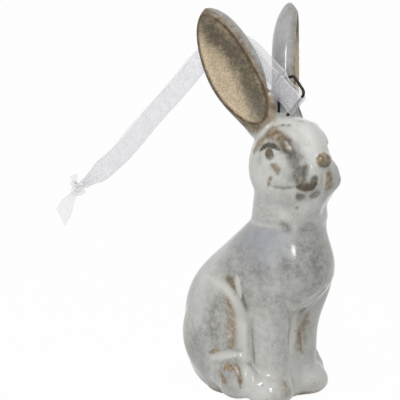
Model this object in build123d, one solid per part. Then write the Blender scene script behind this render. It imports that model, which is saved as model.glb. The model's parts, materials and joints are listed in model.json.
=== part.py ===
from build123d import *
import math
import os

# Seated ceramic rabbit that hangs by a ribbon from a wire eyelet.
# Millimetres, +Z up, the rabbit faces -Y and stands on its foot ring at Z = 0.

# Torso: elliptical sections from the foot up to the neck, each a step above the last
foot_y = 3.2
foot_half_depth = 13.5
foot_half_width = 11.2
rump_step = 5.0
rump_y = 4.7
rump_half_depth = 17.8
rump_half_width = 13.4
belly_step = 14.0
belly_y = 6.2
belly_half_depth = 18.3
belly_half_width = 14.4
rib_step = 12.0
rib_y = -1.0
rib_half_depth = 21.7
rib_half_width = 15.3
chest_step = 10.5
chest_y = -7.6
chest_half_depth = 17.6
chest_half_width = 13.0
neck_step = 8.5
neck_y = -12.1
neck_half_depth = 11.7
neck_half_width = 10.0
wall = 3.4
vent_diameter = 6.0

# Haunches, hind feet and tail
haunch_x = 8.6
haunch_y = 5.6
haunch_z = 15.8
haunch_half_width = 8.3
haunch_half_depth = 13.8
haunch_half_height = 14.6
hind_foot_x = 14.6
hind_foot_y = -4.6
hind_foot_z = 6.5
hind_foot_half_width = 4.0
hind_foot_half_depth = 8.4
hind_foot_half_height = 5.8
tail_y = 22.8
tail_z = 9.0
tail_half_width = 4.8
tail_half_depth = 4.2
tail_half_height = 5.6

# Forelegs: shoulder, elbow and wrist sections, and the paw in front
shoulder_x = 6.8
shoulder_y = -13.6
shoulder_z = 36.0
shoulder_half_width = 5.9
shoulder_half_depth = 6.8
withers_x = 4.4
withers_y = -10.8
withers_step = 9.0
withers_radius = 2.4
elbow_x = 6.6
elbow_y = -11.2
elbow_z = 24.0
elbow_radius = 6.0
wrist_x = 5.8
wrist_y = -10.4
wrist_z = 11.0
wrist_radius = 5.5
paw_x = 8.2
paw_y = -12.4
paw_z = 3.4
paw_half_width = 7.0
paw_half_depth = 6.6
paw_half_height = 4.6

# Head: places are measured from the middle of the neck joint
skull_y = 0.6
skull_z = 15.8
skull_half_width = 11.3
skull_half_depth = 11.8
skull_half_height = 13.1
jaw_y = 0.0
jaw_z = 9.0
jaw_half_depth = 10.3
jaw_half_width = 9.6
bridge_y = -5.0
bridge_z = 19.4
bridge_half_width = 6.4
bridge_half_depth = 8.2
bridge_half_height = 9.0
muzzle_y = -7.0
muzzle_z = 13.0
muzzle_half_width = 7.8
muzzle_half_depth = 7.2
muzzle_half_height = 8.6
cheek_x = 5.0
cheek_y = -2.4
cheek_z = 11.4
cheek_half_width = 6.2
cheek_half_depth = 8.6
cheek_half_height = 8.4
pouch_x = 3.4
pouch_y = -9.6
pouch_z = 11.4
pouch_radius = 4.0
chin_y = -9.6
chin_z = 7.0
chin_radius = 4.4
nose_y = -13.0
nose_z = 18.2
nose_half_width = 2.7
nose_half_depth = 1.9
nose_half_height = 2.2
eye_x = 8.1
eye_y = -2.9
eye_z = 20.8
eye_radius = 2.7
head_cavity_height = 17.0
head_cavity_half_depth = 5.0
head_cavity_half_width = 5.0

# Ears: a leaf of elliptical sections along a straight axis, dished on the inner face
ear_root_x = 5.0
ear_root_y = 6.4
ear_root_z = 24.5
ear_splay_angle = 19.5
ear_lean_angle = 16.5
ear_face_angle = 32.0
ear_root_width = 7.2
ear_root_thickness = 8.0
ear_lower_step = 8.5
ear_lower_width = 11.4
ear_lower_thickness = 9.0
ear_middle_step = 9.0
ear_middle_width = 15.2
ear_middle_thickness = 9.0
ear_shoulder_step = 10.0
ear_shoulder_width = 13.2
ear_shoulder_thickness = 8.6
ear_tip_step = 7.0
ear_tip_width = 7.6
ear_tip_thickness = 4.6
ear_cap = 3.2
ear_dish_half_width = 6.9
ear_dish_depth = 3.8
ear_dish_offset = 0.9
ear_dish_from_root = 20.5
ear_dish_half_length = 16.5

# Wire eyelet: a loop in the middle plane, its places measured from its front foot
wire_diameter = 0.8
wire_hole_clearance = 0.05
eyelet_foot_y = 1.7
eyelet_foot_z = 29.1
eyelet_leg_gap = 3.2
eyelet_leg_depth = 4.6
eyelet_front_run = 9.2
eyelet_front_angle = 46.0
eyelet_crown_y = -2.2
eyelet_crown_height = 11.0
eyelet_crown_drop = 1.6
eyelet_bend = 1.4
eyelet_foot_bend = 1.2

# Ribbon: flat organza folded double round the front run of the eyelet
ribbon_width = 6.4
ribbon_thickness = 0.3
ribbon_strand_gap = 0.5
ribbon_side = 1.35
fold_seat = 1.5
fold_clearance = 0.3
fold_straddle = 2.8
fold_cross = 2.8
fold_run = 2.4
ribbon_first_run = 5.0
bend_share = 0.45
knot_half_width = 1.9
knot_half_depth = 3.0
knot_half_height = 2.7
gather_width = 3.6
long_tail_width = 5.0
long_tail_length = 13.6
long_tail_angle = -52.0
short_tail_width = 3.0
short_tail_length = 4.4
short_tail_angle = 58.0
tail_thickness = 0.8

# Route of the strands in the middle plane (Y, Z), from the fold's end to the gather before the knot
ribbon_route = [
    (1.2, 96.0),
    (8.0, 98.2),
    (15.0, 96.6),
    (21.8, 92.0),
    (30.5, 83.8),
    (39.0, 76.5),
    (47.5, 69.0),
    (56.5, 60.8),
    (65.5, 54.6),
]
knot_place = (75.2, 49.0)

# Section heights of the torso, and the middle of the neck joint
rump_z = rump_step
belly_z = rump_z + belly_step
rib_z = belly_z + rib_step
chest_z = rib_z + chest_step
neck_z = chest_z + neck_step
neck = Pos(0, neck_y, neck_z)
neck_plane = Plane.XY.offset(neck_z)


def ellipsoid(x, y, z, half_width, half_depth, half_height):
    seam_turn = 180 if x < 0 else 0
    ball = Rot(0, 0, seam_turn) * Sphere(1)
    return Pos(x, y, z) * scale(ball, by=(half_width, half_depth, half_height))


def oval(y, z, half_depth, half_width):
    return Pos(0, y, z) * Ellipse(half_width, half_depth)


def above_floor(shape):
    return split(shape, bisect_by=Plane.XY, keep=Keep.TOP)


def trunk_sections(inset):
    return [
        oval(belly_y, belly_z, belly_half_depth - inset, belly_half_width - inset),
        oval(rib_y, rib_z, rib_half_depth - inset, rib_half_width - inset),
        oval(chest_y, chest_z, chest_half_depth - inset, chest_half_width - inset),
        oval(neck_y, neck_z, neck_half_depth - inset, neck_half_width - inset),
    ]


def foreleg(side):
    sections = [
        Pos(side * wrist_x, wrist_y, 0) * Circle(wrist_radius),
        Pos(side * wrist_x, wrist_y, wrist_z) * Circle(wrist_radius),
        Pos(side * elbow_x, elbow_y, elbow_z) * Circle(elbow_radius),
        Pos(side * shoulder_x, shoulder_y, shoulder_z) * Ellipse(shoulder_half_width, shoulder_half_depth),
        Pos(side * withers_x, withers_y, shoulder_z + withers_step) * Circle(withers_radius),
    ]
    return loft(sections)


def torso():
    foot = oval(foot_y, 0, foot_half_depth, foot_half_width)
    rump = oval(rump_y, rump_z, rump_half_depth, rump_half_width)
    body = loft([foot, rump] + trunk_sections(0))
    limbs = [above_floor(ellipsoid(0, tail_y, tail_z, tail_half_width, tail_half_depth, tail_half_height))]
    for side in (-1, 1):
        haunch = ellipsoid(side * haunch_x, haunch_y, haunch_z,
                           haunch_half_width, haunch_half_depth, haunch_half_height)
        hind_foot = ellipsoid(side * hind_foot_x, hind_foot_y, hind_foot_z,
                              hind_foot_half_width, hind_foot_half_depth, hind_foot_half_height)
        paw = ellipsoid(side * paw_x, paw_y, paw_z, paw_half_width, paw_half_depth, paw_half_height)
        limbs += [above_floor(haunch), above_floor(hind_foot), above_floor(paw), foreleg(side)]
    body += limbs
    body = split(body, bisect_by=neck_plane, keep=Keep.BOTTOM)
    floor = oval(rump_y, wall, rump_half_depth - wall, rump_half_width - wall)
    body -= loft([floor] + trunk_sections(wall))
    body -= extrude(Pos(0, foot_y, 0) * Circle(vent_diameter / 2), 2 * wall)
    return body


def head():
    shape = loft([
        oval(neck_y, neck_z, neck_half_depth, neck_half_width),
        oval(neck_y + jaw_y, neck_z + jaw_z, jaw_half_depth, jaw_half_width),
    ])
    shape += neck * ellipsoid(0, skull_y, skull_z, skull_half_width, skull_half_depth, skull_half_height)
    shape += neck * ellipsoid(0, bridge_y, bridge_z, bridge_half_width, bridge_half_depth, bridge_half_height)
    shape += neck * ellipsoid(0, muzzle_y, muzzle_z, muzzle_half_width, muzzle_half_depth, muzzle_half_height)
    for side in (-1, 1):
        shape += neck * ellipsoid(side * cheek_x, cheek_y, cheek_z,
                                  cheek_half_width, cheek_half_depth, cheek_half_height)
        shape += neck * Pos(side * pouch_x, pouch_y, pouch_z) * Sphere(pouch_radius)
        shape += neck * Pos(side * eye_x, eye_y, eye_z) * Sphere(eye_radius)
    shape += neck * Pos(0, chin_y, chin_z) * Sphere(chin_radius)
    shape += neck * ellipsoid(0, nose_y, nose_z, nose_half_width, nose_half_depth, nose_half_height)
    shape = split(shape, bisect_by=neck_plane, keep=Keep.TOP)
    cavity = loft([
        oval(neck_y, neck_z, neck_half_depth - wall, neck_half_width - wall),
        oval(neck_y, neck_z + head_cavity_height, head_cavity_half_depth, head_cavity_half_width),
    ])
    shape -= cavity
    return shape


def ear_plane(side):
    axis = Vector(side * math.tan(math.radians(ear_splay_angle)), math.tan(math.radians(ear_lean_angle)), 1)
    axis = axis.normalized()
    facing = Vector(side * math.sin(math.radians(ear_face_angle)), -math.cos(math.radians(ear_face_angle)), 0)
    across = axis.cross(facing).normalized()
    root = Vector(side * ear_root_x, neck_y + ear_root_y, neck_z + ear_root_z)
    return Plane(origin=root, x_dir=across, z_dir=axis)


def ear(side):
    plane = ear_plane(side)
    lower = ear_lower_step
    middle = lower + ear_middle_step
    shoulder = middle + ear_shoulder_step
    tip = shoulder + ear_tip_step
    end = tip + ear_cap
    leaf = loft([
        plane * Ellipse(ear_root_width / 2, ear_root_thickness / 2),
        plane.offset(lower) * Ellipse(ear_lower_width / 2, ear_lower_thickness / 2),
        plane.offset(middle) * Ellipse(ear_middle_width / 2, ear_middle_thickness / 2),
        plane.offset(shoulder) * Ellipse(ear_shoulder_width / 2, ear_shoulder_thickness / 2),
        plane.offset(tip) * Ellipse(ear_tip_width / 2, ear_tip_thickness / 2),
        Vertex(*plane.offset(end).origin),
    ])
    inner_face = plane.offset(ear_dish_from_root) * Pos(side * ear_dish_offset, -ear_middle_thickness / 2, 0)
    dish = inner_face * ellipsoid(0, 0, 0, ear_dish_half_width, ear_dish_depth, ear_dish_half_length)
    return leaf - dish - head_solid


# Wire eyelet
front_foot = Vector(0, neck_y + eyelet_foot_y, neck_z + eyelet_foot_z)
front_slope = math.radians(eyelet_front_angle)
along_wire = Vector(0, -math.cos(front_slope), math.sin(front_slope))
off_wire = Vector(0, math.sin(front_slope), math.cos(front_slope))


def eyelet_path():
    leg_end = front_foot - Vector(0, 0, eyelet_leg_depth)
    front_bend = front_foot + along_wire * eyelet_front_run
    crown = front_foot + Vector(0, eyelet_crown_y, eyelet_crown_height)
    back_bend = front_foot + Vector(0, eyelet_leg_gap, eyelet_crown_height - eyelet_crown_drop)
    back_end = leg_end + Vector(0, eyelet_leg_gap, 0)
    points = [leg_end, front_foot, front_bend, crown, back_bend, back_end]
    return FilletPolyline(*points, radius=[eyelet_foot_bend, eyelet_bend, eyelet_bend, eyelet_bend])


def wire(diameter):
    path = eyelet_path()
    return sweep(Plane(path @ 0, z_dir=path % 0) * Circle(diameter / 2), path=path)


# Ribbon fold: drawn square to the wire, then drawn out along it by the ribbon's width
fold_corner = front_foot + along_wire * fold_seat
fold_plane = Plane(origin=fold_corner, x_dir=off_wire, z_dir=along_wire)
fold_radius = wire_diameter / 2 + fold_clearance + ribbon_thickness / 2
fold_length = fold_straddle + fold_cross + fold_run
far_side = ribbon_side
near_side = ribbon_side + ribbon_thickness + ribbon_strand_gap


def fold_strand(start, end):
    centre = [
        (0, start),
        (fold_straddle, start),
        (fold_straddle + fold_cross, end),
        (fold_length, end),
    ]
    upper = [(x, y + ribbon_thickness / 2) for x, y in centre]
    lower = [(x, y - ribbon_thickness / 2) for x, y in centre]
    return make_face(Polyline(*upper, *reversed(lower), close=True))


def ribbon_fold():
    outside = Circle(fold_radius + ribbon_thickness / 2) - Circle(fold_radius - ribbon_thickness / 2)
    outline = outside & Pos(-fold_radius, 0) * Rectangle(2 * fold_radius, 4 * fold_radius)
    outline += fold_strand(fold_radius, near_side)
    outline += fold_strand(-fold_radius, far_side)
    return extrude(fold_plane * outline, ribbon_width)


def bend_radii(points):
    radii = []
    for before, at, after in zip(points, points[1:], points[2:]):
        turn = (at - before).get_angle(after - at)
        shorter = min((at - before).length, (after - at).length)
        radii.append(bend_share * shorter / math.tan(math.radians(turn / 2)))
    return radii


def strand_points(offset):
    start = fold_corner + off_wire * fold_length + along_wire * (ribbon_width / 2) - Vector(offset, 0, 0)
    first_turn = start + off_wire * ribbon_first_run
    return [start, first_turn] + [Vector(-offset, y, z) for y, z in ribbon_route]


def strand(offset):
    points = strand_points(offset)
    radii = bend_radii(points)
    print("strand radii", [round(radius, 1) for radius in radii])
    path = FilletPolyline(*points, radius=radii)
    print("strand length", round(path.length, 1))
    section = Plane(path @ 0, x_dir=(1, 0, 0), z_dir=path % 0) * Rectangle(ribbon_thickness, ribbon_width)
    band = sweep(section, path=path)
    print("band volume", round(band.volume, 1), "of", round(path.length * ribbon_width * ribbon_thickness, 1))
    return band + gather(offset, path @ 1, path % 1)


def gather(offset, end, heading):
    knot_middle = Vector(-offset, *knot_place)
    side = Vector(1, 0, 0).cross(heading) * (ribbon_width / 2)
    run = (knot_middle - end).normalized()
    neck_side = Vector(1, 0, 0).cross(run) * (gather_width / 2)
    corners = [end + side, end - side, knot_middle - neck_side, knot_middle + neck_side]
    face = make_face(Polyline(*corners, close=True))
    return extrude(face, ribbon_thickness / 2, dir=(1, 0, 0), both=True) - knot_solid


def knot():
    middle = (near_side + far_side) / 2
    return ellipsoid(-middle, *knot_place, knot_half_width, knot_half_depth, knot_half_height)


def tail(width, length, angle):
    middle = (near_side + far_side) / 2
    start = Plane(origin=(-middle, *knot_place), x_dir=(0, 1, 0), z_dir=(1, 0, 0))
    outline = start * Rot(0, 0, angle) * Pos(length / 2, 0) * Rectangle(length, width)
    return extrude(outline, tail_thickness / 2, both=True) - knot_solid


# Build, largest pieces first: each smaller piece is cut where it seats on a larger one
knot_solid = knot()
head_solid = head() - wire(wire_diameter + 2 * wire_hole_clearance)
right_ear = ear(-1)
nodes = {
    "torso_casting": torso(),
    "head_casting": head_solid,
    "right_ear": right_ear,
    "left_ear": mirror(right_ear, about=Plane.YZ),
    "hanging_eyelet": wire(wire_diameter),
    "ribbon_fold": ribbon_fold(),
    "ribbon_near_strand": strand(near_side),
    "ribbon_far_strand": strand(far_side),
    "ribbon_knot": knot_solid,
    "ribbon_long_tail": tail(long_tail_width, long_tail_length, long_tail_angle),
    "ribbon_short_tail": tail(short_tail_width, short_tail_length, short_tail_angle),
}

os.makedirs("parts", exist_ok=True)
for name, solid in nodes.items():
    export_step(solid, f"parts/{name}.step")
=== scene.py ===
"""Looks of the hanging ceramic rabbit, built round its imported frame."""

import json
import math
import bmesh
import bpy
import numpy as np
from mathutils import Matrix, Vector
from mathutils.bvhtree import BVHTree


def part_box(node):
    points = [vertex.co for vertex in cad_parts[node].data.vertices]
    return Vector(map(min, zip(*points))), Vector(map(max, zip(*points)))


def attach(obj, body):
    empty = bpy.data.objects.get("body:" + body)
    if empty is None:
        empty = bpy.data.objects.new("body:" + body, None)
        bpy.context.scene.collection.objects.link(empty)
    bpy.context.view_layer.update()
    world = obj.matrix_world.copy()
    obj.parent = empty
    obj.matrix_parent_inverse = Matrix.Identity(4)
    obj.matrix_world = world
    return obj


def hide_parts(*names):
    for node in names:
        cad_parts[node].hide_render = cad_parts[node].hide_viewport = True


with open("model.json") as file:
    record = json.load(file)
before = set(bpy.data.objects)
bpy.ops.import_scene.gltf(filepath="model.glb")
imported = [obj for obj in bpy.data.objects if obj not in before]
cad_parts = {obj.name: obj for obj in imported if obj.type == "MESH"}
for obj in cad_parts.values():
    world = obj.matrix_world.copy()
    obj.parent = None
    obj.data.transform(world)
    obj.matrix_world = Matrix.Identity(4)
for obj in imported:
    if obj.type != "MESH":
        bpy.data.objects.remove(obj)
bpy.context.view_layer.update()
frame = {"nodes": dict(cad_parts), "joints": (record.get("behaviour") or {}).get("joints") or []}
MM = 0.001

# Camera: a long lens, level with the rabbit's chest, off its right cheek
PHOTO_SIDE = 400
CAMERA_AZIMUTH = math.radians(-45)
CAMERA_ELEVATION = math.radians(10)
CAMERA_DISTANCE = 500 * MM
PIXELS_PER_MM = 3.5
SENSOR_WIDTH = 36.0
ORIGIN_PIXEL = (258, 387)

# Ceramic skin: one glaze-softened surface over the four clay members
CLAY_NODES = ("torso_casting", "head_casting", "right_ear", "left_ear")
NECK_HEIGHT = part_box("head_casting")[0][2]
SKIN_VOXEL = 0.45 * MM
SOFTEN_ROUNDS = 12
RELIEF_ROUNDS = 60
RELIEF_FULL = 0.22 * MM
MELT_ROUNDS = 320
PLUMP = 0.12 * MM
FACE_TURN = 2.6 * MM
FACE_TURN_START = -15 * MM
FACE_TURN_FULL = -24 * MM
FACE_TURN_HALF_WIDTH = 9 * MM
FACE_TURN_RISE = 6 * MM

# How deep the middle of an ear's joint is sunk into the head
JOINT_DEPTH = (0, 0, -1.5)

# Thick glaze that fills narrow gaps: the middle and half sizes of blocks and balls, in millimetres
LEG_FILL = ((0, -10.2, 13.6), (2.2, 4.8, 13.4))
HEEL_FILL = ((9.4, 3.6, 3.2), (4.0, 7.5, 4.9))
EAR_FILL = ((4.1, -8.2, 81.0), (1.5, 2.1, 5.6))
CROWN_FILL = ((0, -6.5, 76.2), (6.0, 5.5, 3.4))

# Edges of the figure that lie off the photographed ones:
# a pixel, a shift in pixels and a radius in millimetres
EDGE_PULLS = (
    ((329, 381), -7, 4.5), ((335, 266), -5, 6.5), ((318, 325), -3.5, 6),
    ((332, 166), 2.5, 3), ((334, 177), 2, 3.5), ((332, 190), 1.5, 3),
    ((327, 214), -3, 3.5), ((252, 152), 3, 4), ((213, 257), 3, 6),
)

# Modelled and painted lines, as pixels of the photograph from the viewer's left
HAUNCH_GROOVE = ((208, 275), (220, 283), (231, 294), (238, 307), (241, 320), (242, 332), (242, 344),
                 (243, 356), (245, 369), (247, 387))
FLANK_LINE = ((237, 276), (238, 285), (240, 297))
FLANK_WEDGE = ((228.5, 279), (231.5, 286), (233.5, 293))
HIND_FOOT_LINE = ((211, 357), (226, 355), (240, 353))
UPPER_FLANK_SHADE = ((241.5, 294), (244.5, 303), (246.5, 312))
LOWER_FLANK_SHADE = ((249, 326), (250, 340), (252, 352), (254, 362))
HAUNCH_GOLD = ((224, 291), (230, 302), (234, 314), (235.5, 328), (235.5, 341), (231, 347))
HAUNCH_HEEL = ((210, 352), (216, 352.5), (221, 350))
FOOT_BAND = ((236, 364), (239.5, 372), (240.5, 388))
CHEST_LINE = ((286, 301), (292, 306), (302, 305), (313, 299), (324, 289))
LEG_GROOVE = ((294, 305), (294.6, 320), (292, 338), (290, 350))
INNER_LEG = ((303, 309), (301, 325), (299, 342), (302, 352))
OUTER_LEG = ((289, 311), (289, 328), (288, 344))
TOE_GROOVE = ((285, 378), (287, 388), (288, 397))
BROW = ((255, 151), (261, 140), (268, 133.5), (276, 133), (283, 139), (288, 148))
BROW_END = ((283, 141), (288, 146), (292, 151))
EYELID = ((260.5, 151), (264.5, 146.8), (269, 145.2), (274, 146), (279, 150))
UNDER_LID = ((261.5, 153), (265, 160), (271, 161), (277, 155))
FOREHEAD_RIDGE = ((280, 129), (294, 133), (309, 144))
CHEEK_MARK = ((271, 164.5), (276.5, 167), (278.5, 174))
LOW_CHEEK_MARK = ((272, 177), (269, 181), (268.5, 186))
CHEEK_CREASE = ((270, 186), (280, 188.3), (290, 188.3), (297, 186))
SNOUT_SIDE = ((288, 146), (295, 155), (299, 168), (299, 183))
MUZZLE_CREASE = ((305.5, 160), (305.5, 170), (304, 179), (302, 185))
MOUTH = ((298, 187), (304, 187.5), (311, 187), (317, 183.5))
MOUTH_CORNER = ((312, 181), (316.5, 180), (317.5, 177))
FAR_POUCH = ((327.5, 174), (328.3, 181), (327.5, 188))
PHILTRUM = ((320.8, 169), (321, 180), (321.4, 192))
CHIN_MARK = ((297, 196), (301, 197.5), (305, 197))
LIP_MARK = ((311, 197.5), (316, 194.5), (320.5, 193.5))
THROAT_MARK = ((296, 208), (299, 207.5))
NECK_MARK = ((281, 224.5), (286, 227), (290, 230))
FAR_NECK_MARK = ((301, 229), (308, 226.5), (314, 225))
EAR_OUTLINE = ((224, 22), (239, 40), (254, 65), (266, 87), (270, 108), (266, 121), (255, 127.5), (237, 119),
               (219, 102), (206, 79), (198, 56), (195, 34), (196, 18), (206, 11))
EAR_OLIVE = ((203, 19), (214, 34), (229, 46), (244, 67), (252, 87), (258, 103), (262, 113))
EAR_AXIS = ((262, 128), (207, 8))
EAR_ROOT_BROWN = ((250, 131), (258, 127), (267, 120))
FAR_EAR_TAN = ((294, 12), (295, 40), (296, 70), (298, 100))

# Modelled and painted spots, as pixels of the photograph
EYE = (269, 154)
NOSE = (322, 160.5)
# Painted shade under the nose
NOSE_SHADE_SPOT = (321.5, 165.5)
EAR_SIDE_BROWN = ((269, 103), (273, 110), (270, 117))
BROW_SHADE = ((287, 147.5),)
EYE_SHADE = ((260, 158), (271, 140), (280, 144))
HIND_FOOT_JOINTS = ((212, 360), (209, 372), (214, 384), (226, 390), (240, 389), (247, 378))
CHIN_JOINTS = ((306, 203), (316, 206), (322, 201))
CROWN_MARKS = ((283, 126), (289, 126))
# Painted rim light: paler spots by the rump's upper edge and on the cheek
RIM_LIGHT_SPOTS = ((204, 279), (210, 272), (258, 178))
# Painted shade on the shoulders below the neck, in a darker lavender
NECK_SHADE_SPOTS = ((258, 232), (264, 240))
FOOT_PATCHES = ((226, 366), (231, 368), (222, 376), (224, 381))
FLANK_GREY = ((262, 268), (284, 262), (300, 250), (226, 325), (214, 335), (210, 315), (302, 275),
              (220, 305), (315, 262))

camera_back = Vector((math.sin(CAMERA_AZIMUTH) * math.cos(CAMERA_ELEVATION),
                      -math.cos(CAMERA_AZIMUTH) * math.cos(CAMERA_ELEVATION),
                      math.sin(CAMERA_ELEVATION)))
camera_right = Vector((math.cos(CAMERA_AZIMUTH), math.sin(CAMERA_AZIMUTH), 0))
camera_up = camera_back.cross(camera_right)


def pixel_offset(x, y):
    """How far a photo pixel lies from the middle of the frame, in metres at the rabbit."""
    scale = MM / PIXELS_PER_MM
    return camera_right * ((x - PHOTO_SIDE / 2) * scale) + camera_up * ((PHOTO_SIDE / 2 - y) * scale)


camera_place = camera_back * CAMERA_DISTANCE - pixel_offset(*ORIGIN_PIXEL)


def make_camera():
    lens = bpy.data.cameras.new("camera")
    lens.sensor_width = SENSOR_WIDTH
    lens.lens = PIXELS_PER_MM / MM * CAMERA_DISTANCE * SENSOR_WIDTH / PHOTO_SIDE
    lens.clip_start = 0.01
    camera = link(bpy.data.objects.new("camera", lens))
    camera.location = camera_place
    camera.rotation_mode = "QUATERNION"
    camera.rotation_quaternion = (-camera_back).to_track_quat("-Z", "Y")
    bpy.context.scene.camera = camera


def link(obj):
    bpy.context.scene.collection.objects.link(obj)
    return obj


def applied(obj):
    """The object's mesh with its modifiers applied; the object itself is removed."""
    bpy.context.view_layer.update()
    mesh = bpy.data.meshes.new_from_object(obj.evaluated_get(bpy.context.evaluated_depsgraph_get()))
    bpy.data.objects.remove(obj)
    return mesh


# Node trees
def linear(red, green, blue):
    """An 8-bit display colour as the linear colour that a shader takes."""
    return tuple(((tone / 255 + 0.055) / 1.055) ** 2.4 for tone in (red, green, blue)) + (1,)


class Shader:
    """A material whose nodes are added one call at a time."""

    def __init__(self, name):
        self.material = bpy.data.materials.new(name)
        self.material.use_nodes = True
        self.tree = self.material.node_tree
        self.surface = self.tree.nodes["Principled BSDF"]

    def fill(self, node, inputs):
        for name, value in inputs.items():
            if isinstance(value, bpy.types.NodeSocket):
                self.tree.links.new(value, node.inputs[name])
            else:
                node.inputs[name].default_value = value

    def add(self, kind, inputs, output=0, **settings):
        node = self.tree.nodes.new(kind)
        for name, value in settings.items():
            setattr(node, name, value)
        self.fill(node, inputs)
        return node.outputs[output]

    def noise(self, where, scale, detail=4, roughness=0.55):
        return self.add("ShaderNodeTexNoise",
                        {"Vector": where, "Scale": scale, "Detail": detail, "Roughness": roughness}, "Fac")

    def ramp(self, value, low, high, start=0.0, end=1.0):
        limits = {"From Min": low, "From Max": high, "To Min": start, "To Max": end}
        return self.add("ShaderNodeMapRange", {"Value": value, **limits}, interpolation_type="SMOOTHSTEP")

    def math(self, operation, first, second):
        return self.add("ShaderNodeMath", {0: first, 1: second}, operation=operation)

    def mix(self, share, first, second):
        return self.add("ShaderNodeMixRGB", {"Fac": share, "Color1": first, "Color2": second})

    def paint(self, name):
        return self.add("ShaderNodeAttribute", {}, "Fac", attribute_name=name)

    def soft(self, paint, noise):
        """A painted share that is airbrushed, and a little blotchy."""
        blotches = self.ramp(noise, 0.3, 0.7, 0.75, 1.1)
        return self.ramp(self.math("MULTIPLY", paint, blotches), 0.04, 0.96)

    def ragged(self, paint, noise, spread=0.8):
        """A painted share whose edge breaks up along a noise."""
        shift = self.math("MULTIPLY", self.math("SUBTRACT", noise, 0.5), spread)
        return self.ramp(self.math("ADD", paint, shift), 0.25, 0.75)


# Ceramic glaze
def glaze_material():
    glaze = Shader("reactive_glaze")
    where = glaze.add("ShaderNodeTexCoord", {}, "Object")
    clouds = glaze.noise(where, 95, 5, 0.6)
    grain = glaze.noise(where, 620, 4, 0.65)
    dust = glaze.noise(where, 1900, 2, 0.6)
    specks = glaze.add("ShaderNodeTexVoronoi", {"Vector": where, "Scale": 330}, "Distance")

    grey = glaze.math("MULTIPLY", glaze.paint("grey"), glaze.ramp(clouds, 0.3, 0.64, 0.5, 1.0))
    mottled = glaze.math("MULTIPLY", glaze.ramp(dust, 0.38, 0.62, 0.86, 1.03),
                         glaze.ramp(grain, 0.32, 0.66, 0.78, 1.08))
    dusty = glaze.math("MULTIPLY", grey, mottled)
    colour = glaze.mix(dusty, linear(206, 206, 202), linear(112, 111, 106))
    # Darker lavender: painted shade on the shoulders and the upper back, and the lavender tint of the ears' glaze
    colour = glaze.mix(glaze.paint("lavender_tint_and_shade"), colour, linear(140, 142, 150))
    colour = glaze.mix(glaze.soft(glaze.paint("shade"), grain), colour, linear(94, 90, 82))
    brown = glaze.mix(glaze.ramp(grain, 0.35, 0.65), linear(140, 123, 98), linear(104, 90, 68))
    colour = glaze.mix(glaze.soft(glaze.paint("toast"), grain), colour, brown)
    gold = glaze.mix(glaze.ramp(dust, 0.35, 0.65), linear(160, 139, 110), linear(108, 91, 66))
    colour = glaze.mix(glaze.ragged(glaze.paint("gold"), grain, 0.9), colour, gold)
    colour = glaze.mix(glaze.soft(glaze.paint("dark"), grain), colour, linear(66, 58, 44))
    # White of glaze pooled in the hollows, and a painted highlight along the forehead ridge
    colour = glaze.mix(glaze.paint("glaze_pool_and_highlight"), colour, linear(190, 190, 185))
    speck = glaze.math("MULTIPLY", glaze.ramp(specks, 0.11, 0.05), glaze.ramp(clouds, 0.44, 0.54))
    colour = glaze.mix(glaze.math("MULTIPLY", speck, 0.7), colour, linear(84, 74, 60))

    bisque = glaze.mix(glaze.ramp(dust, 0.38, 0.64), linear(200, 183, 155), linear(170, 154, 126))
    olive = glaze.soft(glaze.paint("olive"), grain)
    bisque = glaze.mix(glaze.math("MULTIPLY", olive, 0.9), bisque,
                       glaze.mix(glaze.ramp(dust, 0.4, 0.6), linear(66, 58, 42), linear(46, 40, 27)))
    bisque = glaze.mix(glaze.soft(glaze.paint("outline"), grain), bisque, linear(72, 54, 32))
    inner = glaze.paint("inner")
    colour = glaze.mix(inner, colour, bisque)
    bare = glaze.mix(glaze.ramp(grain, 0.35, 0.65), linear(176, 158, 130), linear(138, 116, 86))
    colour = glaze.mix(glaze.ragged(glaze.paint("bare"), grain, 0.5), colour, bare)

    matt = glaze.math("MAXIMUM", glaze.math("MULTIPLY", inner, 0.75), glaze.paint("bare"))
    matt = glaze.math("MAXIMUM", matt, glaze.math("MULTIPLY", glaze.paint("toast"), 0.45))
    rough = glaze.ramp(matt, 0.0, 1.0, 0.13, 0.62)
    dents = glaze.math("ADD", glaze.math("MULTIPLY", clouds, 0.6), glaze.math("MULTIPLY", dust, 0.06))
    bump = glaze.add("ShaderNodeBump", {"Strength": 0.22, "Distance": 0.0005, "Height": dents}, "Normal")
    glaze.fill(glaze.surface, {"Base Color": colour, "Roughness": rough, "Normal": bump, "IOR": 1.5})
    return glaze.material


def wire_material():
    wire = Shader("black_wire")
    where = wire.add("ShaderNodeTexCoord", {}, "Object")
    grain = wire.noise(where, 2600, 3)
    colour = wire.mix(wire.ramp(grain, 0.4, 0.7), linear(20, 19, 20), linear(52, 50, 50))
    bump = wire.add("ShaderNodeBump", {"Strength": 0.15, "Distance": 0.0001, "Height": grain}, "Normal")
    wire.fill(wire.surface, {"Base Color": colour, "Roughness": wire.ramp(grain, 0.3, 0.7, 0.28, 0.45),
                             "Normal": bump, "Metallic": 0.6})
    return wire.material


# Radians that the weave's wave runs over one width of the ribbon
WEAVE_RUN = 160


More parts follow.
